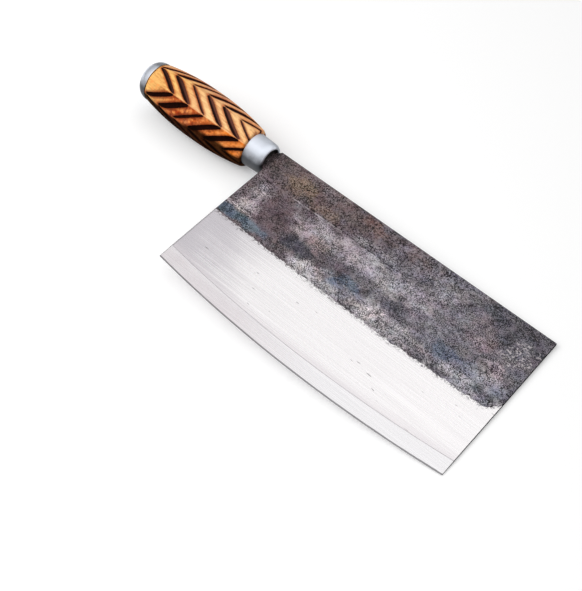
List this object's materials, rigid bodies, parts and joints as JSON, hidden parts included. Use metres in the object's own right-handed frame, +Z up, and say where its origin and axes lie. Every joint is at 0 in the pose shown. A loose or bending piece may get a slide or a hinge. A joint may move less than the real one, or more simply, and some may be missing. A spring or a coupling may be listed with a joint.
{
  "type": "cleaver",
  "caption": "Hand-forged kitchen cleaver with a broad dark-scaled blade, bright ground edge and carved wooden grip between an aluminium ferrule and butt cap.",
  "frame": {"origin": "middle of the underside of the part's box, on the table the knife lies on", "axes": "+X from the butt towards the toe of the blade, +Y from the cutting edge towards the spine, +Z up from the table"},
  "size_m": [0.3002, 0.117, 0.0343],
  "materials": {
    "forged_iron": "dark forge scale on the upper half, ground bright below it",
    "edge_steel": "ground bright along the blade",
    "satin_aluminium": "satin, turned",
    "black_pitch": "matt black pitch",
    "carved_wood": "carved, burnt dark in the cuts, oiled",
    "plain_steel": "plain, slightly dull"
  },
  "bodies": {
    "root": {"blade_body": "forged_iron", "edge_steel": "edge_steel", "ferrule": "satin_aluminium", "neck_fill": "black_pitch", "grip": "carved_wood", "tang_bedding": "black_pitch", "butt_cap": "satin_aluminium", "tail_washer": "plain_steel"}
  },
  "joints": []
}
